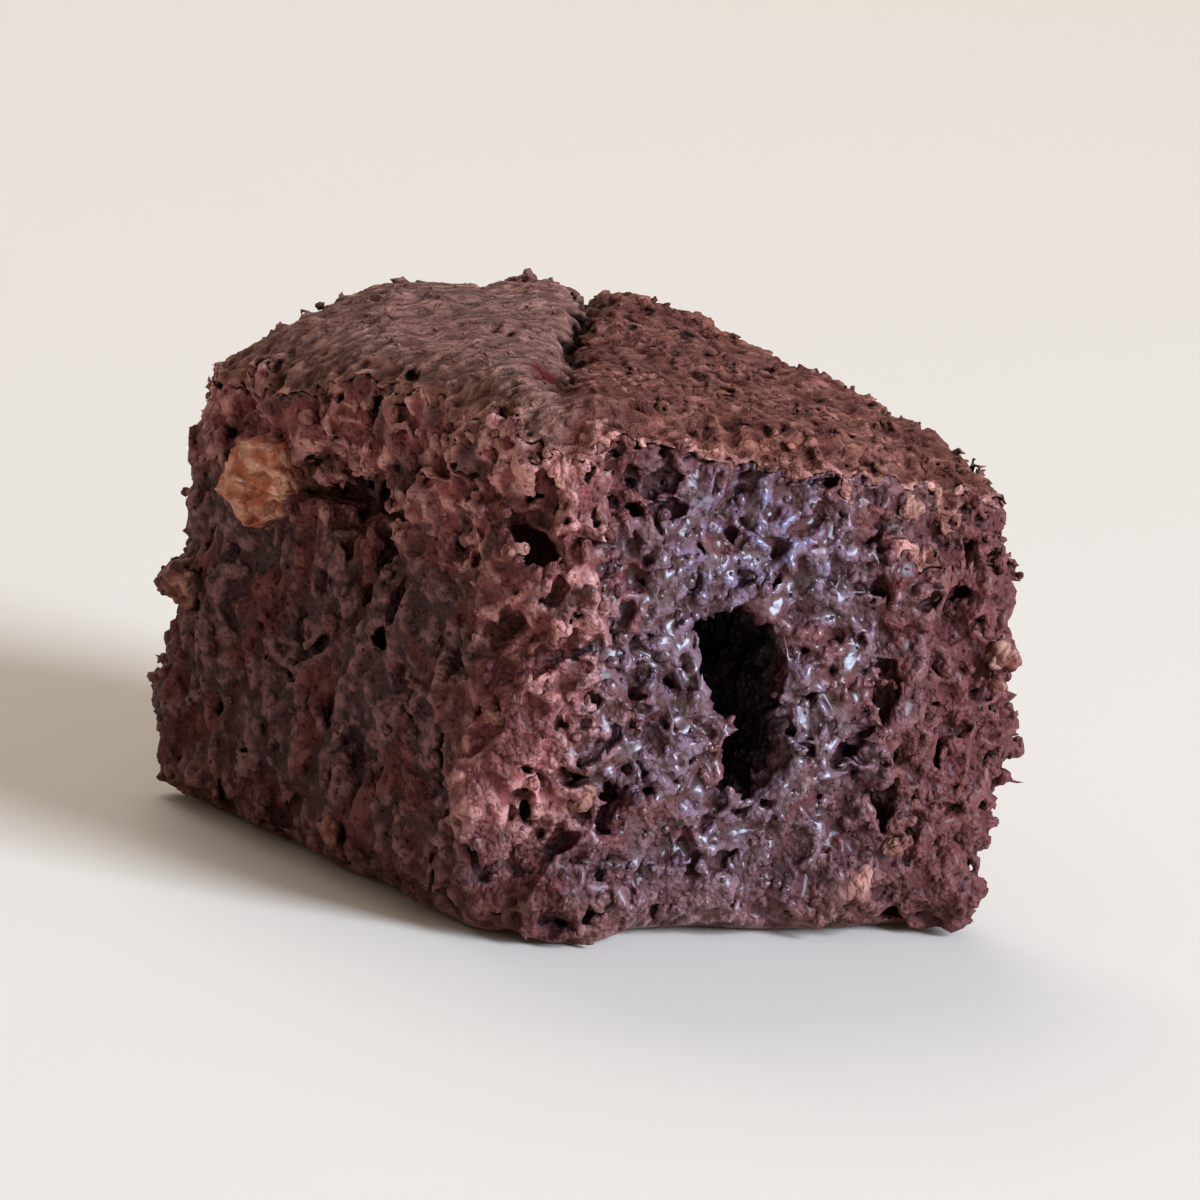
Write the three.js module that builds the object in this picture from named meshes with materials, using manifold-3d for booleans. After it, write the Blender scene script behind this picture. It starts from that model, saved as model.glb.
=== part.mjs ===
// A bite-sized chunk of fudge brownie, cut and torn from a slab.
// Millimetres, +Z up. The origin is the middle of the flat baked base.
// The coarse torn crumb faces -Y, the smoother cut side faces -X, the crust is on top.

import * as THREE from 'three';
import { mergeVertices } from 'three/addons/utils/BufferGeometryUtils.js';
import { ImprovedNoise } from 'three/addons/math/ImprovedNoise.js';
import Module from 'manifold-3d';

// ---- driving dimensions -------------------------------------------------------------

const WIDTH = 24.0;           // along X, across the torn crumb face
const DEPTH = 23.0;           // along Y, along the cut side
const CRUST_HEIGHT = 18.6;    // of the crust over the middle of the base
const BASE_EDGE = 2.0;        // radius of the worn edge round the base
const CRUST_EDGE = 2.1;       // radius of the edge round the crust
const TAPER = 0.5;            // how far each side leans in by the time it meets the crust
const SIDE_SWELL = 0.35;      // how far the middle of each side stands proud

const GRID_X = 24;            // facets along each side of the block
const GRID_Y = 23;
const GRID_Z = 20;

// The crust isn't level: it swells over one corner and has sunk or broken at two others.
// Each entry is a place on the crust, the reach of the change and its height.
const CRUST_CHANGES = [
  { x: -10.0, y: -7.0, reach: 8.0, rise: 1.6 },    // swell over the front edge
  { x: 13.5, y: -12.5, reach: 6.5, rise: -3.0 },   // sunken right-hand corner
  { x: -13.5, y: 13.0, reach: 4.6, rise: -4.2 },   // crumbled far corner
  { x: -7.0, y: 9.5, reach: 5.0, rise: 0.5 },      // rounded shoulder beside it
  { x: 2.0, y: 9.5, reach: 8.5, rise: 1.6 },       // low dome towards the back
  { x: 13.0, y: 5.0, reach: 6.0, rise: -0.5 },     // gentle fall to the right
];

// The crack that splits the crust from the front edge to the back.
const CRACK = { x: -11.2, y: -10.6, heading: 52, width: 1.3, depth: 0.45, wander: 0.6, bend: 4.0 };

// Relief of the broken crumb: each layer has a lump size and the height of its lumps.
const CRUMB_LAYERS = [
  { lump: 8.0, height: 0.6 },
  { lump: 3.6, height: 0.75 },
  { lump: 1.9, height: 0.5 },
];
const CUT_SIDE_CALM = 0.5;    // share of the relief left on the smoother cut side
const CRUST_CALM = 0.35;      // share left on the crust
const BASE_CALM = 0.25;       // share left where the sides meet the base
const BASE_GAP = 0.02;        // how far the lowest facets of the sides stay above the base

// Upright drag marks on the cut side, which wander by some way over each bend.
const CUT_RIBS = { pitch: 2.3, height: 0.12, wander: 1.6, bend: 4.0 };

// A point belongs to the crust or to the cut side more and more as it turns to face that way.
const FACING = { none: 0.45, full: 0.9, base: -0.999 };

// Burst bubbles and missing crumbs, cut out of the sides.
// at is the middle of the opening, size the half axes along X, Y and Z.
const HOLLOWS = [
  { name: 'main_bubble', at: [-1.7, -11.5, 10.5], size: [2.0, 7.0, 1.85], turn: 12 },
  { name: 'main_bubble_tail', at: [-0.8, -11.5, 7.3], size: [1.15, 4.6, 2.1], turn: -8 },
  { name: 'front_edge_pit', at: [-11.3, -10.9, 16.0], size: [1.4, 1.5, 1.6], turn: 20 },
  { name: 'under_crust_pit', at: [-11.8, 0.4, 13.6], size: [2.6, 2.5, 1.15], turn: -6 },
  { name: 'under_crust_hook', at: [-11.8, -2.2, 13.1], size: [1.9, 1.0, 1.5], turn: 20 },
  { name: 'under_crust_nick', at: [-11.8, 3.2, 13.9], size: [1.8, 1.0, 1.2], turn: 25 },
  { name: 'right_pit', at: [8.1, -11.9, 12.4], size: [1.15, 1.8, 1.7], turn: -10 },
  { name: 'low_slit', at: [-6.9, -11.8, 6.1], size: [0.6, 1.6, 1.6], turn: 15 },
  { name: 'right_slit', at: [5.0, -11.8, 9.9], size: [0.5, 1.5, 2.1], turn: 6 },
  { name: 'right_low_slit', at: [5.7, -11.8, 5.6], size: [0.55, 1.4, 1.4], turn: -10 },
  { name: 'far_side_bubble', at: [12.0, 2.6, 8.6], size: [3.2, 1.7, 1.4], turn: 18 },
  { name: 'far_side_pit', at: [12.0, -5.4, 12.0], size: [1.6, 1.1, 1.7], turn: -12 },
  { name: 'back_pit', at: [4.8, 11.7, 9.6], size: [1.7, 2.4, 1.2], turn: 10 },
  { name: 'back_nick', at: [-4.6, 11.7, 5.6], size: [1.0, 1.5, 1.3], turn: -20 },
];

// Lumps of crumb and a baked-in nut that stand out of the sides.
const LUMPS = [
  { name: 'nut', at: [-11.5, 5.8, 12.5], size: [1.35, 1.8, 1.5], turn: 15 },
  { name: 'left_crumb', at: [-11.4, 10.4, 8.4], size: [1.1, 1.2, 0.95], turn: 0 },
  { name: 'foot_bulge', at: [-7.9, -11.1, 1.7], size: [3.4, 1.6, 1.75], turn: 4 },
  { name: 'front_edge_swell', at: [-11.0, -10.4, 6.4], size: [1.7, 1.7, 4.2], turn: 0 },
  { name: 'right_foot', at: [8.6, -10.9, 2.2], size: [2.3, 1.4, 1.9], turn: 0 },
  { name: 'back_crumb', at: [8.2, 10.9, 4.0], size: [1.9, 1.3, 1.5], turn: -15 },
];
const LUMP_DETAIL = 2;        // facets on a hollow or lump: 20 times (detail + 1) squared
const LUMP_ROUGHNESS = 0.32;  // how uneven a hollow or lump is, as a share of its size
const LUMP_DENT = 0.8;        // size of the dents in it, as a share of its size

const CHOCOLATE_BROWN = 0x5a3a36;

// ---- relief -------------------------------------------------------------------------

const perlin = new ImprovedNoise();

// One smooth random value from -1 to 1 at a point, for lumps of the given size.
function lumpiness(p, lump, seed) {
  return perlin.noise(p.x / lump + seed * 7.31, p.y / lump + seed * 3.17, p.z / lump + seed * 5.73);
}

function smoothstep(low, high, value) {
  const t = Math.min(Math.max((value - low) / (high - low), 0), 1);
  return t * t * (3 - 2 * t);
}

function crustHeight(x, y) {
  let height = CRUST_HEIGHT;
  for (const change of CRUST_CHANGES) {
    const distance = Math.hypot(x - change.x, y - change.y) / change.reach;
    height += change.rise * Math.exp(-distance * distance);
  }
  return height - CRACK.depth * crackShare(x, y);
}

// 1 on the line of the crack, falling to 0 at half its width.
function crackShare(x, y) {
  const heading = THREE.MathUtils.degToRad(CRACK.heading);
  const across = (x - CRACK.x) * Math.sin(heading) - (y - CRACK.y) * Math.cos(heading);
  const wander = CRACK.wander * lumpiness(new THREE.Vector3(x, y, 0), CRACK.bend, 9);
  return 1 - smoothstep(0, CRACK.width, Math.abs(across + wander));
}

// How far the crumb stands out of the plain block at a point with this outward direction.
function relief(p, outward) {
  let height = 0;
  CRUMB_LAYERS.forEach((layer, index) => {
    height += layer.height * lumpiness(p, layer.lump, index + 1);
  });
  const onCrust = smoothstep(FACING.none, FACING.full, outward.z);
  const onCutSide = smoothstep(FACING.none, FACING.full, -outward.x);
  height *= 1 - (1 - CRUST_CALM) * onCrust;
  height *= 1 - (1 - CUT_SIDE_CALM) * onCutSide;
  const wander = CUT_RIBS.wander * lumpiness(p, CUT_RIBS.bend, 6);
  height += onCutSide * CUT_RIBS.height * Math.sin((2 * Math.PI * (p.y + wander)) / CUT_RIBS.pitch);
  return height;
}

// ---- the block ----------------------------------------------------------------------

// Rounds a point of the plain box's surface, and returns its place and outward direction.
function roundedPoint(share) {
  const half = new THREE.Vector3(WIDTH / 2, DEPTH / 2, CRUST_HEIGHT / 2);
  const upward = (share.z + 1) / 2;
  const radius = THREE.MathUtils.lerp(BASE_EDGE, CRUST_EDGE, upward);
  const core = half.clone().subScalar(radius);
  const p = share.clone().multiply(half);
  const inner = p.clone().clamp(core.clone().negate(), core);
  const outward = p.clone().sub(inner).normalize();
  return { p: inner.addScaledVector(outward, radius), outward, half };
}

function shapeBlock(share) {
  const { p, outward, half } = roundedPoint(share);
  const upward = (p.z + half.z) / (2 * half.z);
  const lean = 1 - (2 * TAPER * upward) / WIDTH;
  const swell = SIDE_SWELL * Math.sin(Math.PI * upward) * Math.hypot(outward.x, outward.y);
  p.x = p.x * lean + outward.x * swell;
  p.y = p.y * lean + outward.y * swell;
  p.z = upward * crustHeight(p.x, p.y);

  // the base stays flat, and the relief fades in above it
  if (outward.z < FACING.base) {
    p.z = 0;
    return p;
  }
  const calm = THREE.MathUtils.lerp(BASE_CALM, 1, smoothstep(0, BASE_EDGE, p.z));
  p.addScaledVector(outward, relief(p, outward) * calm);
  p.z = Math.max(p.z, BASE_GAP);
  return p;
}

function closedGeometry(source, move) {
  source.deleteAttribute('normal');
  source.deleteAttribute('uv');
  const geometry = mergeVertices(source, 1e-5);
  const position = geometry.getAttribute('position');
  const p = new THREE.Vector3();
  for (let i = 0; i < position.count; i += 1) {
    const moved = move(p.fromBufferAttribute(position, i).clone());
    position.setXYZ(i, moved.x, moved.y, moved.z);
  }
  return geometry;
}

// An uneven ball stretched to the half axes given, for a hollow or a lump.
function unevenBall(spec, seed) {
  const turn = THREE.MathUtils.degToRad(spec.turn);
  const alongSide = Math.abs(spec.at[0]) > Math.abs(spec.at[1]);
  const axis = alongSide ? new THREE.Vector3(1, 0, 0) : new THREE.Vector3(0, 1, 0);
  const size = new THREE.Vector3(...spec.size);
  const middle = new THREE.Vector3(...spec.at);
  return closedGeometry(new THREE.IcosahedronGeometry(1, LUMP_DETAIL), (p) => {
    const wobble = 1 + LUMP_ROUGHNESS * lumpiness(p, LUMP_DENT, seed + 20);
    p.multiplyScalar(wobble).multiply(size).applyAxisAngle(axis, turn).add(middle);
    p.z = Math.max(p.z, BASE_GAP);
    return p;
  });
}

// ---- joining and cutting ------------------------------------------------------------

const wasm = await Module();
wasm.setup();

function toSolid(geometry) {
  return new wasm.Manifold(new wasm.Mesh({
    numProp: 3,
    vertProperties: new Float32Array(geometry.getAttribute('position').array),
    triVerts: new Uint32Array(geometry.getIndex().array),
  }));
}

function toGeometry(solid) {
  const mesh = solid.getMesh();
  const geometry = new THREE.BufferGeometry();
  geometry.setAttribute('position', new THREE.BufferAttribute(mesh.vertProperties, 3));
  geometry.setIndex(new THREE.BufferAttribute(mesh.triVerts, 1));
  geometry.computeVertexNormals();
  return geometry;
}

let chunk = toSolid(closedGeometry(new THREE.BoxGeometry(2, 2, 2, GRID_X, GRID_Y, GRID_Z), shapeBlock));
LUMPS.forEach((spec, index) => {
  chunk = chunk.add(toSolid(unevenBall(spec, index)));
});
HOLLOWS.forEach((spec, index) => {
  chunk = chunk.subtract(toSolid(unevenBall(spec, index + LUMPS.length)));
});

// ---- the part -----------------------------------------------------------------------

// The frame's origin is under the middle of the finished chunk.
const form = toGeometry(chunk);
form.computeBoundingBox();
const middle = form.boundingBox.getCenter(new THREE.Vector3());
form.translate(-middle.x, -middle.y, 0);

const brownie = new THREE.Mesh(
  form,
  new THREE.MeshStandardMaterial({ color: CHOCOLATE_BROWN, roughness: 0.7, metalness: 0 }),
);
brownie.name = 'brownie';

const group = new THREE.Group();
group.add(brownie);
export default group;
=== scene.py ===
import math

import bmesh
import bpy
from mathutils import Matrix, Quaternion, Vector


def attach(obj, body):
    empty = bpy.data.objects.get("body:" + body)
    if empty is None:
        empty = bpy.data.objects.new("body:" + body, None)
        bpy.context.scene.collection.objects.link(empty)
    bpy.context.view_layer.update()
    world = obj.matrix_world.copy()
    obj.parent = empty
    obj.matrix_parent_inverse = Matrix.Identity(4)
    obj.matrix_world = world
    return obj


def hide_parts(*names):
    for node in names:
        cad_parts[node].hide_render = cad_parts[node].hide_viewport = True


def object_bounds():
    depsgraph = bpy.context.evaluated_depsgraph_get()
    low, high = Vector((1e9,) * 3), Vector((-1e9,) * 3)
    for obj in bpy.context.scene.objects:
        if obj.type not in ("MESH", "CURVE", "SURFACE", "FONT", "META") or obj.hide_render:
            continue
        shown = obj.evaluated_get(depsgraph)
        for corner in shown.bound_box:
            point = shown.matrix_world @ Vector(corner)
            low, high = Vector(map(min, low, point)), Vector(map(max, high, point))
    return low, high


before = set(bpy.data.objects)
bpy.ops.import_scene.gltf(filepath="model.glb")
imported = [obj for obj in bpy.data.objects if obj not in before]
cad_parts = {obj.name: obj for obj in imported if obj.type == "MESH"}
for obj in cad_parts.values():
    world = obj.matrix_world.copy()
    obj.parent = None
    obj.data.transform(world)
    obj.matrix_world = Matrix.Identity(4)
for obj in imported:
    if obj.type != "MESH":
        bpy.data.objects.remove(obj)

cad_low, cad_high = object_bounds()

# ---- Crumb ---------------------------------------------------------------------------
# The chunk's moist body: dark chocolate crumb, baked in a slab, cut on one side and
# torn open on the others, so it is full of lumps, grains and burst bubbles.

MM = 0.001
SURFACE_ROOM = 1.0 * MM       # room round the block for what stands proud
CRUMB_TRIANGLES = 195_000
SMALLEST_ISLAND = 4000        # a patch of surface with fewer points than this is a stray
CRUST_OVERLAP = 0.15          # how far crust and crumb reach into each other, in millimetres
CRUST_PROUD = 0.07            # how far the crust lies over the surface it replaces
OPENNESS_RAYS = 26            # directions in which the openness of a hollow is felt out
CLUMP = 1.6                   # size of the clumps that the crumb broke into, in millimetres
GRAIN = 0.60                  # size of the grains in them
CELL = 1.12                   # size of the small burst bubbles between them
CRACK_X = -11.1               # where the crack in the crust starts, in millimetres
CRACK_Y = -10.4
CRACK_HEADING = 52.0

# the burst bubble in the torn side: middle and half sizes of its two lobes, in millimetres
BUBBLE_LOBES = [
    ((-1.6, -11.4, 10.5), (1.85, 7.4, 1.85)),
    ((-0.8, -11.4, 7.8), (1.20, 5.4, 2.7)),
]

RED_SPOT = (-7.5, -5.6, 19.7)  # pit in the crack where syrupy crumb shows, in millimetres

crumb_sizes = {
    "Voxel": 0.17,
    "Lump height": 0.65,
    "Clump height": 0.95,
    "Grain height": 0.66,
    "Grit height": 0.42,
    "Cell depth": 0.88,
    "Web height": 0.22,
    "Bubble depth": 1.3,
    "Pore depth": 0.6,
    "Streak height": 0.85,
    "Crust wrinkle": 0.25,
    "Crust depth": 1.5,
    "Crack depth": 0.6,
    "Flake height": 0.7,
    "Seed": 4.0,
}

# how far a neighbouring wall still darkens a hollow in the painted shade, and where the rays
# towards it start
mark_sizes = {
    "Longest gap": 6.0 * MM,
    "Ray start": 0.05 * MM,
}


class Wire:
    """A socket in a node tree. Arithmetic on wires adds Math nodes to their tree."""

    def __init__(self, tree, socket):
        self.tree = tree
        self.socket = socket

    def node(self, kind, settings=None, inputs=None, output=0):
        return add_node(self.tree, kind, settings, inputs, output)

    def other(self, name):
        """Another output of the node that this wire comes from."""
        outputs = self.socket.node.outputs
        return Wire(self.tree, next(s for s in outputs if s.name == name and s.enabled))

    def math(self, operation, *terms):
        return self.node("ShaderNodeMath", {"operation": operation}, dict(enumerate(terms)))

    def __add__(self, other):
        return self.math("ADD", self, other)

    def __radd__(self, other):
        return self.math("ADD", other, self)

    def __sub__(self, other):
        return self.math("SUBTRACT", self, other)

    def __rsub__(self, other):
        return self.math("SUBTRACT", other, self)

    def __mul__(self, other):
        return self.math("MULTIPLY", self, other)

    def __rmul__(self, other):
        return self.math("MULTIPLY", other, self)

    def __truediv__(self, other):
        return self.math("DIVIDE", self, other)

    def __rtruediv__(self, other):
        return self.math("DIVIDE", other, self)

    def __neg__(self):
        return self.math("MULTIPLY", self, -1.0)

    def least(self, other):
        return self.math("MINIMUM", self, other)

    def most(self, other):
        return self.math("MAXIMUM", self, other)

    def sign(self):
        return self.math("SIGN", self)

    def ramp(self, low, high):
        """0 at low, 1 at high, eased in between."""
        settings = {"interpolation_type": "SMOOTHSTEP"}
        inputs = {"Value": self, "From Min": low, "From Max": high}
        return self.node("ShaderNodeMapRange", settings, inputs)

    def vector(self, operation, other=None, output="Vector"):
        inputs = {0: self}
        if other is not None:
            inputs["Scale" if operation == "SCALE" else 1] = other
        return self.node("ShaderNodeVectorMath", {"operation": operation}, inputs, output)

    def axes(self):
        return [self.node("ShaderNodeSeparateXYZ", None, {0: self}, axis) for axis in range(3)]

    def shifted(self, shift):
        """The same place in another part of a pattern."""
        return self.vector("ADD", (shift * 7.3, shift * 3.1, shift * 5.9))

    def noise(self, size, detail=0.0, shift=0.0, output="Fac"):
        """Smooth noise whose lumps have the given size."""
        inputs = {"Vector": self.shifted(shift), "Scale": 1.0 / size, "Detail": detail}
        return self.node("ShaderNodeTexNoise", None, inputs, output)

    def cells(self, size, shift=0.0):
        """Distance to the middle of the nearest cell, in cells; "Color" is its own number."""
        inputs = {"Vector": self.shifted(shift), "Scale": 1.0 / size}
        return self.node("ShaderNodeTexVoronoi", None, inputs, "Distance")

    def cell_edges(self, size, shift=0.0):
        """Distance to the nearest border between cells, in cells."""
        settings = {"feature": "DISTANCE_TO_EDGE"}
        inputs = {"Vector": self.shifted(shift), "Scale": 1.0 / size}
        return self.node("ShaderNodeTexVoronoi", settings, inputs, "Distance")

    def stir(self, size, reach, shift=0.0):
        """The place, moved about by noise, so that no pattern looks regular."""
        swirl = self.noise(size, 0.0, shift, "Color").vector("SUBTRACT", (0.5, 0.5, 0.5))
        return self.vector("ADD", swirl.vector("SCALE", 2.0 * reach))


def add_node(tree, kind, settings=None, inputs=None, output=0):
    """Adds a node of any type, sets it up, plugs in its inputs and returns one output."""
    node = tree.nodes.new(kind)
    for name, value in (settings or {}).items():
        setattr(node, name, value)
    for name, value in (inputs or {}).items():
        if isinstance(name, int):
            socket = node.inputs[name]
        else:
            socket = next(s for s in node.inputs if s.name == name and s.enabled)
        if isinstance(value, Wire):
            tree.links.new(value.socket, socket)
        else:
            socket.default_value = value
    if isinstance(output, int):
        return Wire(tree, node.outputs[output])
    return Wire(tree, next(s for s in node.outputs if s.name == output and s.enabled))


def new_tree(name, sizes):
    """A Geometry Nodes tree with a geometry going in and out and named sizes."""
    tree = bpy.data.node_groups.new(name, "GeometryNodeTree")
    tree.interface.new_socket("Geometry", in_out="INPUT", socket_type="NodeSocketGeometry")
    tree.interface.new_socket("Geometry", in_out="OUTPUT", socket_type="NodeSocketGeometry")
    for label in sizes:
        tree.interface.new_socket(label, in_out="INPUT", socket_type="NodeSocketFloat")
    entry = tree.nodes.new("NodeGroupInput")
    return tree, {s.name: Wire(tree, s) for s in entry.outputs if s.name}


def close_tree(tree, geometry, material):
    """What the tree made is realized, given its material and sent out."""
    real = geometry.node("GeometryNodeRealizeInstances", None, {"Geometry": geometry})
    done = real.node("GeometryNodeSetMaterial", None, {"Geometry": real, "Material": material})
    exit_node = tree.nodes.new("NodeGroupOutput")
    tree.links.new(done.socket, exit_node.inputs[0])


def add_modifier(piece, tree, sizes):
    """Hangs a tree on a piece and sets the tree's named sizes."""
    modifier = piece.modifiers.new(tree.name, "NODES")
    modifier.node_group = tree
    for socket in tree.interface.items_tree:
        if socket.in_out == "INPUT" and socket.name in sizes:
            modifier[socket.identifier] = float(sizes[socket.name])


def settle(piece):
    """Turns what a piece's modifiers made into its plain mesh."""
    evaluated = piece.evaluated_get(bpy.context.evaluated_depsgraph_get())
    mesh = bpy.data.meshes.new_from_object(evaluated)
    piece.modifiers.clear()
    piece.data = mesh
    mesh.name = piece.name


def block_copy(name):
    """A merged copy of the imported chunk, to grow a surface on."""
    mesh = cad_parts["brownie"].data.copy()
    form = bmesh.new()
    form.from_mesh(mesh)
    bmesh.ops.remove_doubles(form, verts=form.verts, dist=0.001 * MM)
    form.to_mesh(mesh)
    form.free()
    mesh.materials.clear()
    for polygon in mesh.polygons:
        polygon.use_smooth = True
    piece = bpy.data.objects.new(name, mesh)
    bpy.context.scene.collection.objects.link(piece)
    return piece


def distance_inside(block, place):
    """How deep a place lies inside the block, in millimetres, and the nearest side's direction."""
    near = {"Geometry": block, "Sample Position": place}
    beside = place.node("GeometryNodeProximity", None, near, "Position")
    sample = {
        "Mesh": block,
        "Value": place.node("GeometryNodeInputNormal"),
        "Sample Position": place,
    }
    settings = {"data_type": "FLOAT_VECTOR"}
    outward = place.node("GeometryNodeSampleNearestSurface", settings, sample, "Value")
    gap = place.vector("SUBTRACT", beside)
    side = gap.vector("DOT_PRODUCT", outward, "Value").sign()
    return side * gap.vector("LENGTH", None, "Value") * (-1.0 / MM), outward


def side_shares(point, outward):
    """How much a point belongs to the crust, to the smooth cut side and to the base."""
    x, y, z = point.axes()
    rise = outward.axes()[2]
    ragged = point.noise(1.3, 2.0, 31.0) - 0.5
    # the crust broke off most unevenly along the right and the back edge
    broken = x.most(y).ramp(8.5, 11.5)
    crust = (rise + ragged * (1.3 + 1.3 * broken)).ramp(0.15, 0.6) * z.ramp(12.5, 14.0)
    base = (-rise).ramp(0.6, 0.95) * z.ramp(1.0, 0.3)
    # the cut side ends where it meets the torn sides, and below the overhanging crust
    lean = y / 11.5 - x / 12.0 + ragged * 0.25
    cut = lean.ramp(-0.06, 0.06) * (-x).ramp(7.0, 9.0) * y.ramp(12.5, 10.5)
    cut = cut * (z + ragged * 3.0).ramp(13.4, 11.6)
    return crust, cut * (1.0 - crust), base


def disturbed(point, seed):
    """The place as the batter's stirring and the tearing have moved it, coarsely and finely."""
    seeds = seed.node("ShaderNodeCombineXYZ", None, {0: seed, 1: seed, 2: seed})
    stirred = point.vector("ADD", seeds).stir(2.4, 0.6)
    return stirred, stirred.stir(0.8, 0.17, 2.0).stir(0.36, 0.05, 13.0)


def past_crack(point):
    """How far a point lies to the right of the crack in the crust, in millimetres."""
    x, y, _ = point.axes()
    heading = math.radians(CRACK_HEADING)
    wander = (point.noise(1.6, 2.0, 41.0) - 0.5) * 3.4
    return (x - CRACK_X) * math.sin(heading) - (y - CRACK_Y) * math.cos(heading) + wander


def outside_bubble(point, rim):
    """Distance outside the large burst bubble, in millimetres; rim makes its wall uneven."""
    away = 100.0
    for middle, half_sizes in BUBBLE_LOBES:
        from_middle = point.vector("SUBTRACT", middle).vector("DIVIDE", half_sizes)
        lobe = (from_middle.vector("LENGTH", None, "Value") - 1.0) * min(half_sizes)
        away = lobe.least(away)
    return away + rim


def red_spot(point, reach):
    """1 in the syrupy pit in the crack, 0 from this reach outwards."""
    away = point.vector("SUBTRACT", RED_SPOT).vector("LENGTH", None, "Value")
    return away.ramp(reach, 0.5 * reach)


def broken_surface(point, shares, size):
    """Height of the broken surface over the plain block, in millimetres."""
    crust, cut, base = shares
    stirred, shaken = disturbed(point, size["Seed"])

    # torn crumb: lumps and grains, with burst cells, webs between them and pores
    lumps = (stirred.noise(2.9, 1.0, 3.0) - 0.5) * 2.0 * size["Lump height"]
    clumps = (0.5 - shaken.cells(CLUMP, 4.0)) * size["Clump height"]
    grains = (0.5 - shaken.cells(GRAIN, 5.0)) * size["Grain height"]
    grit = (shaken.noise(0.34, 1.0, 16.0) - 0.5) * size["Grit height"]
    cell = shaken.cells(CELL, 15.0)
    burst = cell.other("Color").axes()[0].ramp(0.25, 0.80)
    cells = cell.ramp(0.55, 0.08) * burst * size["Cell depth"]
    webs = shaken.cell_edges(CELL, 15.0).ramp(0.15, 0.0) * size["Web height"]
    bubbles = shaken.noise(1.6, 1.0, 6.0).ramp(0.65, 0.75) * size["Bubble depth"]
    pores = shaken.noise(0.7, 0.0, 7.0).ramp(0.64, 0.76) * size["Pore depth"]
    torn = lumps + clumps + grains + grit + webs - cells - bubbles - pores

    # the knife dragged the crumb of the cut side into upright streaks
    drag = shaken.vector("MULTIPLY", (0.8, 1.0, 0.5))
    streaks = (0.45 - drag.cells(1.15, 8.0)) * size["Streak height"]
    nicks = drag.noise(0.9, 0.0, 9.0).ramp(0.62, 0.72) * size["Pore depth"] * 1.4
    smooth = lumps * 0.55 + streaks + grains * 0.55 + grit - nicks

    # the crust is wrinkled on the left of the crack and flaky on its right
    swirl = stirred.vector("MULTIPLY", (0.45, 1.0, 1.0)).noise(0.8, 2.0, 10.0) - 0.5
    wrinkles = (0.1 - swirl.math("ABSOLUTE", swirl)) * 5.0 * size["Crust wrinkle"]
    flakes = shaken.vector("MULTIPLY", (0.5, 1.0, 1.0)).noise(0.5, 1.0, 11.0) - 0.5
    flakes = flakes * size["Flake height"]
    across = past_crack(point)
    coarse = across.ramp(-0.5, 3.0)
    crack = 1.0 - across.math("ABSOLUTE", across).ramp(0.0, 0.6)
    crack = crack * point.axes()[1].ramp(-10.5, -6.0)
    skin = wrinkles + flakes * (0.5 + 0.6 * coarse) + grains * (0.10 + 0.8 * coarse)
    skin = skin - crack * size["Crack depth"] - red_spot(point, 1.1) * size["Cell depth"]

    # each side has its own relief, and a lip stands up where the crust broke off
    sides = torn + (smooth - torn) * cut
    lip = crust * (1.0 - crust) * 1.5
    upper = sides + (skin - sides) * crust + lip
    rim = clumps * 0.6 + grains * 1.1 + grit * 0.8
    return upper * (1.0 - base), rim


def grow(name, sizes, low, high, crust_side, material):
    """A tree that grows the crumb, or the crust over it, on the plain block."""
    tree, size = new_tree(name, sizes)
    block = size["Geometry"]
    block = block.node("GeometryNodeSubdivisionSurface", None, {"Mesh": block, "Level": 1})
    place = block.node("GeometryNodeInputPosition")
    point = place.vector("SCALE", 1.0 / MM)
    depth, outward = distance_inside(block, place)
    shares = side_shares(point, outward)
    relief, rim = broken_surface(point, shares, size)
    height = (depth + relief).least(outside_bubble(point, rim))
    layer = ((shares[0] - 0.5) * 3.0).least(size["Crust depth"] - depth)
    if crust_side:
        height = (height + CRUST_PROUD).least(layer + CRUST_OVERLAP)
    else:
        height = height.least(CRUST_OVERLAP - layer)
    height = height.least(point.axes()[2])
    counts = [(high[axis] - low[axis]) / MM / size["Voxel"] for axis in range(3)]
    volume = block.node("GeometryNodeVolumeCube", None, {
        "Density": height,
        "Background": -1.0,
        "Min": low,
        "Max": high,
        "Resolution X": counts[0],
        "Resolution Y": counts[1],
        "Resolution Z": counts[2],
    })
    skin = block.node("GeometryNodeVolumeToMesh", None, {"Volume": volume, "Threshold": 0.0})
    island = block.node("GeometryNodeInputMeshIsland", None, None, "Island Index")
    count = block.node("GeometryNodeAccumulateField", {"data_type": "INT"},
                       {"Value": 1, "Group ID": island}, "Total")
    stray = block.node("FunctionNodeCompare", {"data_type": "INT", "operation": "LESS_THAN"},
                       {"A": count, "B": SMALLEST_ISLAND})
    body = block.node("GeometryNodeDeleteGeometry", None, {"Geometry": skin, "Selection": stray})
    body = block.node("GeometryNodeSetShadeSmooth", None, {"Geometry": body})
    close_tree(tree, body, material)
    return tree


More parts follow.
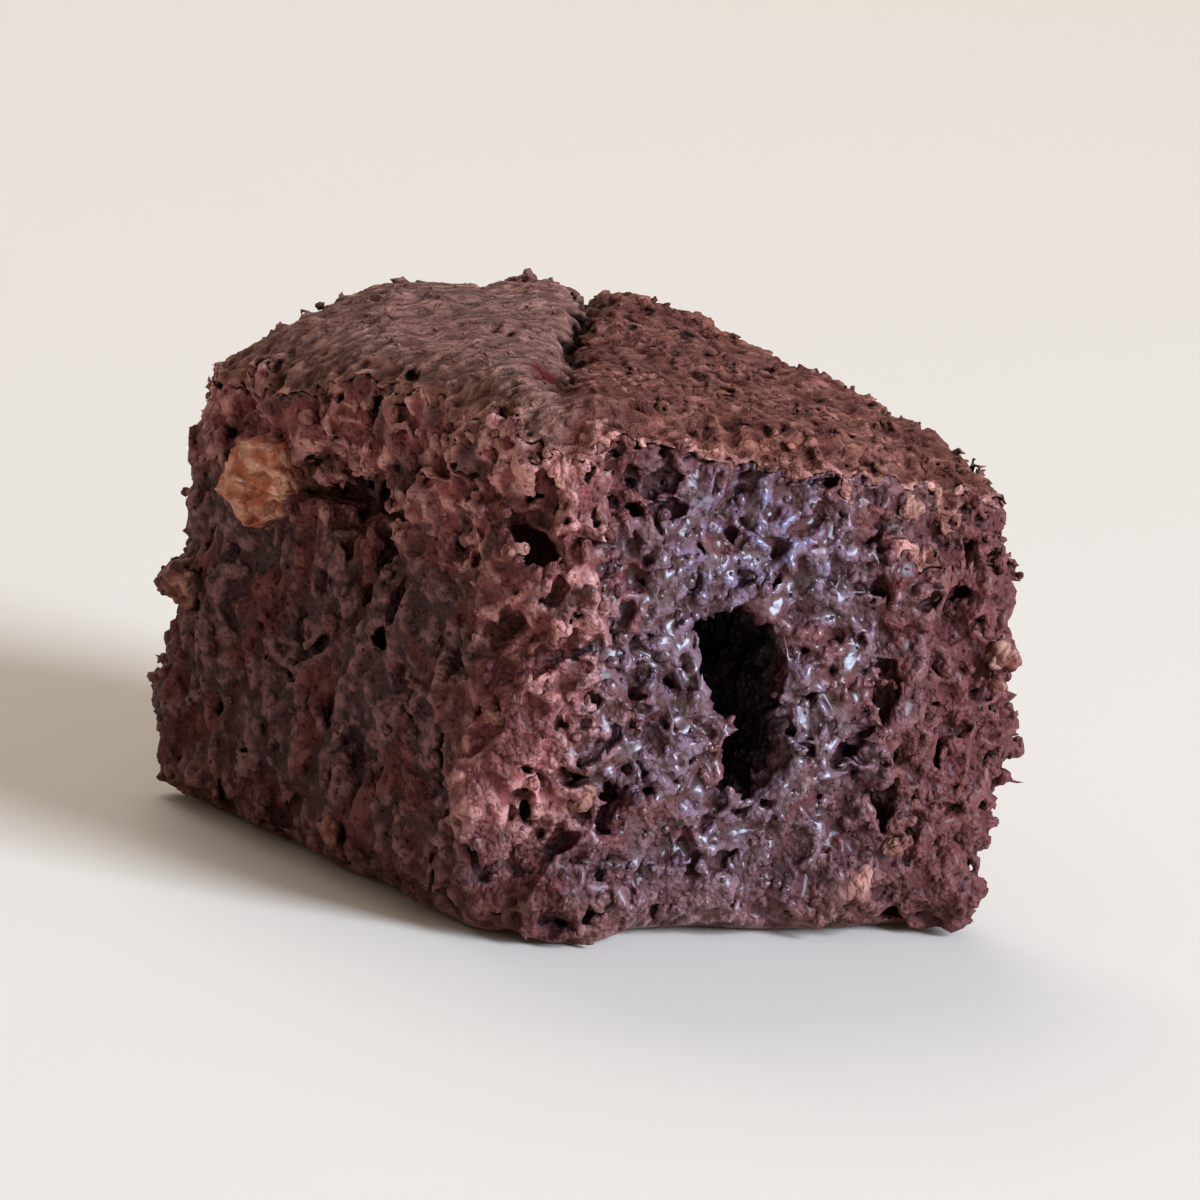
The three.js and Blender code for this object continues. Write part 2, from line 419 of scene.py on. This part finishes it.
def mark(material, neighbour, softening=6):
    """A tree that stores how open, how ridged and on which side each point of a piece is."""
    tree, size = new_tree("marks", mark_sizes)
    surface = size["Geometry"]
    block = surface.node("GeometryNodeObjectInfo", {"transform_space": "ORIGINAL"},
                         {"Object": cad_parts["brownie"]}, "Geometry")
    place = surface.node("GeometryNodeInputPosition")
    normal = surface.node("GeometryNodeInputNormal")
    _, outward = distance_inside(block, place)
    crust, cut, _ = side_shares(place.vector("SCALE", 1.0 / MM), outward)
    soft = surface.node("GeometryNodeBlurAttribute", {"data_type": "FLOAT_VECTOR"},
                        {"Value": place, "Iterations": softening}, "Value")
    ridge = place.vector("SUBTRACT", soft).vector("DOT_PRODUCT", normal, "Value") * (1.0 / MM)

    beside = surface.node("GeometryNodeObjectInfo", {"transform_space": "ORIGINAL"},
                          {"Object": neighbour}, "Geometry")
    walls = surface.node("GeometryNodeJoinGeometry", None, {"Geometry": beside})
    tree.links.new(surface.socket, walls.socket.node.inputs[0])
    start = place.vector("ADD", normal.vector("SCALE", size["Ray start"]))
    shut = 0.0
    total = 0.0
    for ray in range(OPENNESS_RAYS):
        lift = 1.0 - (2.0 * ray + 1.0) / OPENNESS_RAYS
        turn = ray * math.pi * (3.0 - math.sqrt(5.0))
        flat = math.sqrt(1.0 - lift * lift)
        heading = (flat * math.cos(turn), flat * math.sin(turn), lift)
        share = normal.vector("DOT_PRODUCT", heading, "Value").most(0.0)
        cast = {
            "Target Geometry": walls,
            "Source Position": start,
            "Ray Direction": heading,
            "Ray Length": size["Longest gap"],
        }
        hit = surface.node("GeometryNodeRaycast", None, cast, "Is Hit")
        near = 1.0 - hit.other("Hit Distance") / size["Longest gap"]
        shut = hit * near * share + shut
        total = share + total
    openness = 1.0 - shut / total
    settings = {"data_type": "FLOAT", "domain": "POINT"}
    for name, value in {"open": openness, "ridge": ridge, "crust": crust, "cut": cut}.items():
        stored = {"Geometry": surface, "Name": name, "Value": value}
        surface = surface.node("GeometryNodeStoreNamedAttribute", settings, stored)
    close_tree(tree, surface, material)
    return tree


def thin_out(piece, most):
    """Collapses the smallest faces until the piece keeps at most this many triangles."""
    modifier = piece.modifiers.new("thin", "DECIMATE")
    piece.data.calc_loop_triangles()
    modifier.ratio = min(1.0, most / len(piece.data.loop_triangles))


def new_material(name):
    """A material with an empty node tree."""
    material = bpy.data.materials.new(name)
    material.use_nodes = True
    material.node_tree.nodes.clear()
    return material


def show(material, surface):
    """Makes a shader the surface of its material."""
    exit_node = material.node_tree.nodes.new("ShaderNodeOutputMaterial")
    material.node_tree.links.new(surface.socket, exit_node.inputs["Surface"])


def mix(share, first, second):
    """A colour between two, by a share from 0 to 1."""
    inputs = {"Factor": share, "A": first, "B": second}
    return share.node("ShaderNodeMix", {"data_type": "RGBA"}, inputs, "Result")


def brownie_marks(tree):
    """The place in millimetres, the disturbed place and the marks stored on the surface."""
    place = add_node(tree, "ShaderNodeTexCoord", None, None, "Object").vector("SCALE", 1.0 / MM)
    seed = add_node(tree, "ShaderNodeValue")
    seed.socket.default_value = crumb_sizes["Seed"]
    marks = {}
    for name in ("open", "ridge", "crust", "cut"):
        marks[name] = add_node(tree, "ShaderNodeAttribute", {"attribute_name": name}, None, "Fac")
    return place, disturbed(place, seed), marks


def crumb_material():
    material = new_material("moist_crumb")
    tree = material.node_tree
    place, (stirred, shaken), marks = brownie_marks(tree)
    x, y, z = place.axes()
    shadow = (0.020, 0.0040, 0.0040, 1.0)
    wet_shadow = (0.060, 0.020, 0.028, 1.0)
    bubble_shadow = (0.012, 0.0030, 0.0030, 1.0)
    body = (0.085, 0.022, 0.021, 1.0)
    raised = (0.235, 0.087, 0.077, 1.0)
    dull = (0.060, 0.021, 0.021, 1.0)
    dull_raised = (0.30, 0.125, 0.120, 1.0)
    red = (0.11, 0.020, 0.018, 1.0)
    red_raised = (0.205, 0.050, 0.043, 1.0)
    dry_and_lit = (0.34, 0.085, 0.072, 1.0)
    dry_and_lit_raised = (0.84, 0.390, 0.330, 1.0)
    painted_sheen = (0.180, 0.148, 0.265, 1.0)

    grain = shaken.cells(GRAIN, 5.0)
    tone = grain.other("Color").axes()[0]
    web = shaken.cell_edges(CELL, 15.0).ramp(0.22, 0.04)
    speck = place.cells(0.27, 6.0)
    grit = place.noise(0.17, 3.0, 2.0)
    # lighter on ridges, grain tops and the webs between cells: partly the crumb's own tone, partly
    # a painted highlight
    top = marks["ridge"].ramp(-0.05, 0.13) * grain.ramp(0.75, 0.25) * (0.3 + 0.7 * tone)
    top = top.most(web * marks["ridge"].ramp(-0.02, 0.12) * 0.9) * (0.55 + 0.9 * grit).least(1.0)

    # the torn side is wet in its middle, and most of all in a patch over the bubble; it is glossier
    # there, and a lilac sheen is painted into its colour
    torn = 1.0 - marks["cut"]
    middle = place.vector("SUBTRACT", (-2.0, -12.0, 9.5)).vector("DIVIDE", (8.5, 5.0, 11.5))
    centre = middle.vector("LENGTH", None, "Value").ramp(1.15, 0.45) * torn
    patch = place.vector("SUBTRACT", (-1.8, -12.0, 14.9)).vector("DIVIDE", (4.2, 4.0, 3.4))
    patch = patch.vector("LENGTH", None, "Value").ramp(1.2, 0.3) * torn
    sheen_share = (0.45 * centre + 0.8 * patch).least(1.0)
    sheen_share = sheen_share * (0.6 + 0.4 * stirred.noise(0.9, 1.0, 24.0).ramp(0.35, 0.60))

    colour = mix(marks["cut"], mix(top, body, raised), mix(top, dull, dull_raised))
    # painted sheen: a lilac reflection mixed into the raised grains where the crumb is wettest
    colour = mix(sheen_share * top, colour, painted_sheen)

    # the upright edge, the crumb under the crust and the foot have dried and are lighter; under the
    # crust, where the crumb swells upwards, the lighter colour is partly a painted highlight
    edge = (-x - y).ramp(18.6, 22.0) * z.ramp(2.0, 7.0)
    under_crust = z.ramp(11.8, 14.2) * (-x).ramp(8.5, 10.5)
    low = z.ramp(3.5, 1.0)
    patchy = stirred.noise(1.9, 1.0, 21.0).ramp(0.30, 0.50)
    dried_and_lit = edge.most(under_crust).most(low * 0.3) * patchy
    colour = mix(dried_and_lit * (0.5 + 0.5 * tone) * 0.95, colour, mix(top, dry_and_lit, dry_and_lit_raised))

    # red crumb shows in spots everywhere and all over the right of the torn side
    right = x.ramp(4.5, 9.0) * y.ramp(-4.0, -10.0)
    reddish = stirred.noise(2.3, 1.0, 22.0).ramp(0.50, 0.64).most(right * 0.9)
    colour = mix(reddish * 0.85, colour, mix(top, red, red_raised))

    # painted shade: hollows are darkened by how shut in they are, more so towards the foot, and the
    # inside of the large bubble is darkest
    inside = outside_bubble(place, 0.0).ramp(0.9, 0.3) * y.ramp(-11.2, -10.2)
    opened = marks["open"].ramp(0.08, 0.76) * (1.0 - 0.3 * z.ramp(4.5, 0.5))
    colour = mix(opened, mix(centre, shadow, wet_shadow), colour)
    colour = mix(inside, colour, bubble_shadow)

    damp = place.noise(0.6, 2.0, 5.0).ramp(0.38, 0.58)
    height = (0.5 - speck) * 0.22 + grit * 0.18
    bump = height.node("ShaderNodeBump", None, {"Strength": 1.0, "Distance": MM, "Height": height})
    gloss = (0.15 + 0.85 * centre) * (1.0 - 0.6 * dried_and_lit) * (1.0 - 0.8 * marks["cut"])
    surface = height.node("ShaderNodeBsdfPrincipled", None, {
        "Base Color": colour,
        "Roughness": 0.68 - 0.20 * damp * gloss,
        "IOR": 1.45,
        "Specular IOR Level": 0.32,
        "Coat Weight": opened * (1.0 - inside) * gloss * (0.30 + 0.70 * damp),
        "Coat Roughness": 0.26,
        "Coat IOR": 1.6,
        "Normal": bump,
    })
    show(material, surface)
    return material


moist_crumb = crumb_material()
crumb_low = tuple(cad_low - Vector((SURFACE_ROOM,) * 3))
crumb_high = tuple(cad_high + Vector((SURFACE_ROOM, SURFACE_ROOM, 0.0)))
crumb = block_copy("crumb")
crumb_tree = grow("crumb", crumb_sizes, crumb_low, crumb_high, False, moist_crumb)
add_modifier(crumb, crumb_tree, crumb_sizes)
settle(crumb)
thin_out(crumb, CRUMB_TRIANGLES)
settle(crumb)

# ---- Crust ---------------------------------------------------------------------------
# The thin skin that dried and wrinkled in the oven's heat. It is drier and browner than
# the crumb, and it is broken off along the chunk's edges with a lip whose light brown is
# partly its own colour and partly a painted highlight.

crust_sizes = dict(crumb_sizes)
crust_sizes["Voxel"] = 0.15
CRUST_LOWEST = 10.0 * MM
CRUST_TRIANGLES = 180_000


def crust_material():
    material = new_material("dry_crust")
    tree = material.node_tree
    place, (stirred, shaken), marks = brownie_marks(tree)
    shadow = (0.014, 0.005, 0.004, 1.0)
    body = (0.105, 0.043, 0.033, 1.0)
    pale = (0.44, 0.210, 0.152, 1.0)
    red = (0.085, 0.020, 0.013, 1.0)
    red_pale = (0.42, 0.155, 0.105, 1.0)
    lip = (0.30, 0.105, 0.080, 1.0)
    lip_pale = (0.72, 0.350, 0.270, 1.0)
    syrup = (0.110, 0.014, 0.012, 1.0)
    grain = shaken.cells(GRAIN, 5.0)
    tone = grain.other("Color").axes()[0]
    lines = shaken.vector("MULTIPLY", (0.32, 1.0, 1.0)).noise(0.34, 3.0, 14.0)
    grit = place.noise(0.13, 4.0, 2.0)
    # paler on ridges and along the wrinkle lines: partly the crust's own tone, partly a painted
    # highlight on the ridges
    top = marks["ridge"].ramp(-0.05, 0.07) * 0.45 + lines.ramp(0.40, 0.60) * 0.55
    top = top * (0.45 + 0.55 * tone) * (0.5 + 1.0 * grit).least(1.0)
    colour = mix(top, body, pale)
    coarse = past_crack(place).ramp(-0.8, 1.2)
    reddish = (0.30 * stirred.noise(2.6, 2.0, 12.0).ramp(0.40, 0.60) + 0.85 * coarse).least(1.0)
    patchy = stirred.noise(1.5, 2.0, 18.0).ramp(0.40, 0.60)
    colour = mix(reddish, colour, mix(top * (0.35 + 0.65 * patchy), red, red_pale))
    # the broken lip is paler: partly its own drier colour, partly a painted highlight along the
    # edge
    torn_lip = marks["crust"].ramp(0.97, 0.62)
    colour = mix(torn_lip * (0.3 + 0.7 * tone), colour, mix(top, lip, lip_pale))
    colour = mix(red_spot(place, 1.8), colour, syrup)
    colour = mix(marks["open"].ramp(0.30, 0.92), shadow, colour)
    height = (0.5 - grain) * (0.06 + 0.16 * coarse) + lines * 0.55 + grit * 0.12
    bump = height.node("ShaderNodeBump", None, {"Strength": 1.0, "Distance": MM, "Height": height})
    surface = height.node("ShaderNodeBsdfPrincipled", None, {
        "Base Color": colour,
        "Roughness": 0.8,
        "IOR": 1.45,
        "Specular IOR Level": 0.12,
        "Normal": bump,
    })
    show(material, surface)
    return material


dry_crust = crust_material()
crust_low = (crumb_low[0], crumb_low[1], CRUST_LOWEST)
crust_high = tuple(cad_high + Vector((SURFACE_ROOM,) * 3))
crust = block_copy("crust")
crust_tree = grow("crust", crust_sizes, crust_low, crust_high, True, dry_crust)
add_modifier(crust, crust_tree, crust_sizes)
settle(crust)
thin_out(crust, CRUST_TRIANGLES)
settle(crust)

# crumb and crust darken each other's hollows in the painted shade, so both are marked once both are
# there
add_modifier(crumb, mark(moist_crumb, crust), mark_sizes)
settle(crumb)
add_modifier(crust, mark(dry_crust, crumb), mark_sizes)
settle(crust)
for piece in (crumb, crust):
    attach(piece, "root")
    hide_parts("brownie")

# ---- Loose crumbs ----------------------------------------------------------------------
# Grains that came loose when the chunk was cut and torn, and stuck to the moist crumb:
# coarse and fine ones all over the broken sides, and a dust of fine ones on the crust.

loose_sizes = {
    "Spacing": 0.85 * MM,
    "Smallest": 0.18 * MM,
    "Largest": 0.42 * MM,
    "Seed": 11.0,
}
fine_sizes = {
    "Spacing": 0.42 * MM,
    "Smallest": 0.08 * MM,
    "Largest": 0.19 * MM,
    "Seed": 17.0,
}
dust_sizes = {
    "Spacing": 0.70 * MM,
    "Smallest": 0.07 * MM,
    "Largest": 0.17 * MM,
    "Seed": 19.0,
}
MOST_GRAINS = 4.0 / (MM * MM)  # on each square metre, before the spacing thins them out
GRAIN_SHAPES = 9
GRAIN_CORNERS = 3             # points along each side of the box that a grain is made from
FULL_TURN = (6.28, 6.28, 6.28)  # radians about each axis
SUNK = 0.35                   # how far a grain's middle lies under the surface, in its radii


def grain_shapes(tree, corners):
    """Uneven lumps about one unit in radius, each a shape of its own, as instances."""
    shapes = add_node(tree, "GeometryNodeJoinGeometry")
    box = {"Vertices X": corners, "Vertices Y": corners, "Vertices Z": corners}
    for number in range(GRAIN_SHAPES):
        lump = add_node(tree, "GeometryNodeMeshCube", None, box, "Mesh")
        heading = lump.node("GeometryNodeInputPosition").vector("NORMALIZE")
        swell = 0.2 + heading.noise(0.9, 0.0, 60.0 + number)
        swell = swell + 0.6 * heading.noise(0.4, 1.0, 70.0 + number)
        lump = lump.node("GeometryNodeSetPosition", None,
                         {"Geometry": lump, "Position": heading.vector("SCALE", swell)})
        lump = lump.node("GeometryNodeSetShadeSmooth", None, {"Geometry": lump})
        lump = lump.node("GeometryNodeGeometryToInstance", None, {0: lump})
        tree.links.new(lump.socket, shapes.socket.node.inputs[0])
    return shapes


def press_in(tree, size, points, radius, corners, material):
    """Sets an uneven grain into the surface at each point and sends the grains out."""
    seed = size["Seed"]
    settings = {"data_type": "FLOAT_VECTOR"}
    squash = {"Min": (0.6, 0.6, 0.6), "Max": (1.25, 1.25, 1.25), "Seed": seed + 1.0}
    turn = {"Min": (0.0, 0.0, 0.0), "Max": FULL_TURN, "Seed": seed + 2.0}
    pick = {"Min": 0, "Max": GRAIN_SHAPES - 1, "Seed": seed + 4.0}
    uneven = points.node("FunctionNodeRandomValue", settings, squash, "Value")
    picked = points.node("FunctionNodeRandomValue", {"data_type": "INT"}, pick, "Value")
    grains = points.node("GeometryNodeInstanceOnPoints", None, {
        "Points": points,
        "Instance": grain_shapes(tree, corners),
        "Pick Instance": True,
        "Instance Index": picked,
        "Rotation": points.node("FunctionNodeRandomValue", settings, turn, "Value"),
        "Scale": uneven.vector("SCALE", radius),
    })
    close_tree(tree, grains, material)


def scatter(sizes, material):
    """A tree that strews grains over a broken surface wherever it is open."""
    tree, size = new_tree("scatter", sizes)
    surface = size["Geometry"]
    opened = surface.node("GeometryNodeInputNamedAttribute", None, {"Name": "open"}, "Attribute")
    place = surface.node("GeometryNodeInputPosition")
    height = place.axes()[2]
    clear = outside_bubble(place.vector("SCALE", 1.0 / MM), 0.0).ramp(0.3, 1.0)
    points = surface.node("GeometryNodeDistributePointsOnFaces", {"distribute_method": "POISSON"}, {
        "Mesh": surface,
        "Distance Min": size["Spacing"],
        "Density Max": MOST_GRAINS,
        "Density Factor": opened.ramp(0.40, 0.85) * height.ramp(0.5 * MM, 0.9 * MM) * clear,
        "Seed": size["Seed"],
    })
    normal = points.other("Normal")
    chance = surface.node("FunctionNodeRandomValue", None, {"Seed": size["Seed"] + 3.0}, "Value")
    radius = size["Smallest"] + (size["Largest"] - size["Smallest"]) * chance * chance
    sink = normal.vector("SCALE", radius * -SUNK)
    points = points.node("GeometryNodeSetPosition", None, {"Geometry": points, "Offset": sink})
    press_in(tree, size, points, radius, GRAIN_CORNERS, material)
    return tree


def strew(name, sizes, surface, material):
    """Grains of one size strewn over a piece's surface, as one piece."""
    grains = bpy.data.objects.new(name, surface.data.copy())
    bpy.context.scene.collection.objects.link(grains)
    add_modifier(grains, scatter(sizes, material), sizes)
    settle(grains)
    add_modifier(grains, mark(material, surface, 1), mark_sizes)
    settle(grains)
    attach(grains, "root")
    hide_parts("brownie")


strew("loose_crumbs", loose_sizes, crumb, moist_crumb)
strew("fine_crumbs", fine_sizes, crumb, moist_crumb)
strew("crust_dust", dust_sizes, crust, dry_crust)

# ---- Nut bits --------------------------------------------------------------------------
# Bits of baked nut and of lighter crumb that sit in the chunk's sides: one large piece
# under the crust and a few crumbs of it lower down, each pressed into the surface.

# place and radius of each bit, in millimetres
NUT_BITS = [
    ((-11.3, 5.4, 13.5), 2.15),
    ((-13.0, 9.7, 8.9), 0.95),
    ((-12.0, -1.7, 1.9), 0.50),
    ((-11.8, -10.2, 14.4), 0.42),
    ((-11.9, -10.8, 8.4), 0.45),
    ((-8.6, -12.0, 5.6), 0.50),
    ((4.8, -12.0, 2.2), 0.85),
    ((6.4, -12.0, 3.6), 0.40),
    ((11.0, -12.0, 11.0), 0.65),
    ((10.2, -12.0, 9.3), 0.45),
    ((5.6, -12.0, 16.6), 0.40),
    ((11.8, -4.2, 5.2), 0.50),
    ((11.8, 6.1, 12.4), 0.60),
    ((3.2, 12.0, 4.1), 0.55),
    ((-5.4, 12.0, 11.7), 0.65),
]
BIT_CORNERS = 14              # points along each side of the box that a bit is made from
BIT_SUNK = 0.2                # how far a bit's middle lies under the surface, in its radii
nut_sizes = {"Seed": 23.0}


def nut_material():
    material = new_material("baked_nut")
    tree = material.node_tree
    place, (_, shaken), marks = brownie_marks(tree)
    deep = (0.22, 0.070, 0.050, 1.0)
    tan = (0.54, 0.260, 0.190, 1.0)
    golden_deep = (0.55, 0.150, 0.075, 1.0)
    golden = (0.98, 0.520, 0.360, 1.0)
    shadow = (0.03, 0.010, 0.006, 1.0)
    grain = shaken.cells(GRAIN, 5.0)
    tone = grain.other("Color").axes()[0]
    top = place.noise(0.7, 3.0, 61.0).ramp(0.40, 0.60) * (0.4 + 0.6 * tone)
    largest = add_node(tree, "ShaderNodeAttribute", {"attribute_name": "bit_size"}, None, "Fac")
    largest = largest.ramp(1.1 * MM, 1.4 * MM)
    colour = mix(largest, mix(top, deep, tan), mix(top, golden_deep, golden))
    colour = mix(marks["open"].ramp(0.2, 0.9), shadow, colour)
    grit = place.noise(0.14, 3.0, 2.0)
    height = (0.5 - grain) * 0.70 + grit * 0.16
    bump = height.node("ShaderNodeBump", None, {"Strength": 1.0, "Distance": MM, "Height": height})
    show(material, height.node("ShaderNodeBsdfPrincipled", None, {
        "Base Color": colour,
        "Roughness": 0.7,
        "IOR": 1.45,
        "Specular IOR Level": 0.25,
        "Normal": bump,
    }))
    return material


def lay_bits(material):
    """A tree that sets a bit of nut into the crumb at the nearest spot to each place."""
    tree, size = new_tree("nut_bits", nut_sizes)
    places = size["Geometry"]
    place = places.node("GeometryNodeInputPosition")
    surface = places.node("GeometryNodeObjectInfo", {"transform_space": "ORIGINAL"},
                          {"Object": crumb}, "Geometry")
    radius = places.node("GeometryNodeInputNamedAttribute", None, {"Name": "bit_size"}, "Attribute")
    near = {"Geometry": surface, "Sample Position": place}
    beside = places.node("GeometryNodeProximity", None, near, "Position")
    outward = beside.vector("MULTIPLY", (1.0, 1.0, 0.0)).vector("NORMALIZE")
    sunk = beside.vector("ADD", outward.vector("SCALE", radius * -BIT_SUNK))
    points = places.node("GeometryNodeMeshToPoints", None, {"Mesh": places, "Position": sunk})
    press_in(tree, size, points, radius, BIT_CORNERS, material)
    return tree


baked_nut = nut_material()
bit_mesh = bpy.data.meshes.new("nut_bits")
bit_mesh.from_pydata([Vector(place) * MM for place, radius in NUT_BITS], [], [])
bit_sizes = bit_mesh.attributes.new("bit_size", "FLOAT", "POINT")
for index, (place, radius) in enumerate(NUT_BITS):
    bit_sizes.data[index].value = radius * MM
bits = bpy.data.objects.new("nut_bits", bit_mesh)
bpy.context.scene.collection.objects.link(bits)
add_modifier(bits, lay_bits(baked_nut), nut_sizes)
settle(bits)
add_modifier(bits, mark(baked_nut, crumb, 2), mark_sizes)
settle(bits)
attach(bits, "root")
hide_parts("brownie")

# ---- Floor ---------------------------------------------------------------------------
# A plain pale floor that curves up far away, so that no edge shows from any side.

FLOOR_RADIUS = 0.9
FLOOR_RIM = 0.12
FLOOR_LEVEL = 0.6             # share of the radius that is level
FLOOR_RINGS = 24
FLOOR_SPOKES = 96

floor_mesh = bpy.data.meshes.new("floor")
floor_form = bmesh.new()
centre = floor_form.verts.new((0.0, 0.0, 0.0))
previous = None
for ring in range(1, FLOOR_RINGS + 1):
    share = ring / FLOOR_RINGS
    radius = FLOOR_RADIUS * share
    lift = FLOOR_RIM * max(0.0, (share - FLOOR_LEVEL) / (1.0 - FLOOR_LEVEL)) ** 2
    corners = []
    for spoke in range(FLOOR_SPOKES):
        turn = 2 * math.pi * spoke / FLOOR_SPOKES
        corner = (radius * math.cos(turn), radius * math.sin(turn), lift)
        corners.append(floor_form.verts.new(corner))
    for spoke in range(FLOOR_SPOKES):
        after = (spoke + 1) % FLOOR_SPOKES
        if previous is None:
            floor_form.faces.new((centre, corners[spoke], corners[after]))
        else:
            floor_form.faces.new((previous[spoke], corners[spoke], corners[after], previous[after]))
    previous = corners
floor_form.to_mesh(floor_mesh)
floor_form.free()
for polygon in floor_mesh.polygons:
    polygon.use_smooth = True
floor = bpy.data.objects.new("floor", floor_mesh)
bpy.context.scene.collection.objects.link(floor)
floor_paint = new_material("floor_paint")
show(floor_paint, add_node(floor_paint.node_tree, "ShaderNodeBsdfPrincipled", None, {
    "Base Color": (0.83, 0.725, 0.61, 1.0),
    "Roughness": 0.75,
}))
floor_mesh.materials.append(floor_paint)

# ---- Light and camera ----------------------------------------------------------------
# A soft cool light from the front right, a warm one from behind, a pale fill all round,
# and the camera a little above the chunk, turned to show both sides and the crust.


def view_direction(azimuth, elevation):
    """Unit vector from the chunk towards a place at this azimuth and elevation, in degrees."""
    a = math.radians(azimuth)
    e = math.radians(elevation)
    return Vector((math.sin(a) * math.cos(e), -math.cos(a) * math.cos(e), math.sin(e)))


def add_light(name, azimuth, elevation, distance, size, power, colour):
    """A square soft light that faces the chunk."""
    lamp = bpy.data.lights.new(name, "AREA")
    lamp.shape = "SQUARE"
    lamp.size = size
    lamp.energy = power
    lamp.color = colour
    light = bpy.data.objects.new(name, lamp)
    back = view_direction(azimuth, elevation)
    light.location = back * distance + Vector((0.0, 0.0, 0.01))
    light.rotation_mode = "QUATERNION"
    light.rotation_quaternion = (-back).to_track_quat("-Z", "Y")
    bpy.context.scene.collection.objects.link(light)


add_light("front_light", 28.0, 27.0, 0.8, 0.4, 12.0, (0.62, 0.77, 1.0))
add_light("back_light", 165.0, 42.0, 0.9, 0.6, 3.0, (1.0, 0.96, 0.92))

world = bpy.data.worlds.new("room")
world.use_nodes = True
fill = world.node_tree.nodes["Background"]
fill.inputs["Color"].default_value = (1.0, 0.93, 0.86, 1.0)
fill.inputs["Strength"].default_value = 0.30
bpy.context.scene.world = world
bpy.context.scene.view_settings.view_transform = "Standard"

VIEW_AZIMUTH = -37.0
VIEW_ELEVATION = 11.0
VIEW_ROLL = 8.5
FRAME_WIDTH = 0.045

camera_data = bpy.data.cameras.new("camera")
camera_data.lens = 300.0
camera_data.sensor_width = 36.0
camera_data.clip_start = 0.01
camera_data.clip_end = 10.0
camera = bpy.data.objects.new("camera", camera_data)
back = view_direction(VIEW_AZIMUTH, VIEW_ELEVATION)
distance = FRAME_WIDTH * camera_data.lens / camera_data.sensor_width
camera.location = (cad_low + cad_high) / 2 + back * distance
camera.rotation_mode = "QUATERNION"
roll = Quaternion((0.0, 0.0, 1.0), math.radians(VIEW_ROLL))
camera.rotation_quaternion = (-back).to_track_quat("-Z", "Y") @ roll
bpy.context.scene.collection.objects.link(camera)
bpy.context.scene.camera = camera
